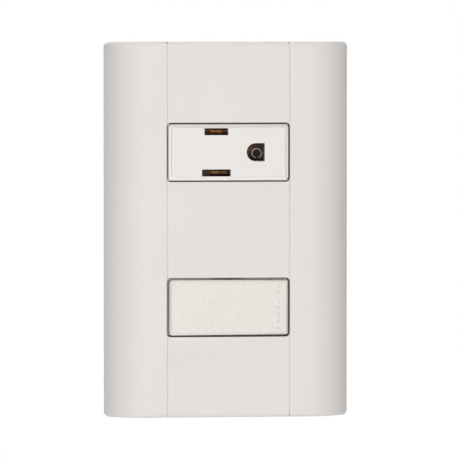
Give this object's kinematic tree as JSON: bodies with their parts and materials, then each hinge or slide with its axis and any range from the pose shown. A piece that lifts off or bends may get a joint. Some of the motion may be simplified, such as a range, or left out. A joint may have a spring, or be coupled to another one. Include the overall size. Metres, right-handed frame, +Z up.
{
  "type": "switch and socket combination",
  "caption": "Wall plate with an earthed two-blade socket module above and a wide rocker switch module below, on a screwed support frame.",
  "frame": {"origin": "half way between the two box screws, in the plane of the wall", "axes": "+Z up, +Y into the wall, +X to the right as the plate is looked at, so the front looks along -Y"},
  "size_m": [0.0756, 0.0316, 0.116],
  "materials": {
    "plate_white": "satin",
    "module_white": "satin",
    "key_white": "satin",
    "frame_grey": "matte",
    "housing_grey": "matte",
    "bronze": "rolled",
    "brass": "plated",
    "earth_green": "dyed",
    "tinned": "tinned",
    "silver": "satin",
    "zinc_steel": "zinc plated"
  },
  "bodies": {
    "fixed_parts": {"cover_plate": "plate_white", "support_frame": "frame_grey", "box_screws": "zinc_steel", "socket_cover": "module_white", "socket_base": "housing_grey", "live_contact": "bronze", "neutral_contact": "bronze", "earth_contact": "bronze", "earth_eyelet": "tinned", "socket_terminal_screws": "brass", "earth_terminal_screw": "earth_green", "socket_clamp_plates": "zinc_steel", "socket_housing_screws": "zinc_steel", "switch_front": "module_white", "switch_base": "housing_grey", "common_terminal": "bronze", "load_terminal": "bronze", "fixed_tip": "silver", "switch_terminal_screws": "brass", "switch_clamp_plates": "zinc_steel", "switch_housing_screws": "zinc_steel"},
    "key": {"rocker_key": "key_white", "plunger_spring": "zinc_steel"},
    "plunger": {"plunger": "housing_grey"},
    "seesaw": {"seesaw_contact": "bronze", "moving_tip": "silver"}
  },
  "joints": [
    {"name": "key_rock", "type": "hinge", "parent": "fixed_parts", "child": "key", "pos_m": [0, -0.007, -0.02395], "axis": [0, 0, 1], "range_deg": [-5.6, 0]},
    {"name": "plunger_slide", "type": "slide", "parent": "key", "child": "plunger", "axis": [0.0488, -0.9988, 0], "range_m": [0, 0.0006], "stiffness_N_per_m": 400, "springref_m": -0.002, "deforming": ["plunger_spring"]},
    {"name": "seesaw_tip", "type": "hinge", "parent": "fixed_parts", "child": "seesaw", "pos_m": [0, 0.0062, -0.02395], "axis": [0, 0, 1], "range_deg": [0, 11.2]}
  ],
  "couplings": [
    {"joint": "seesaw_tip", "follows": "key_rock", "ratio": -2}
  ]
}
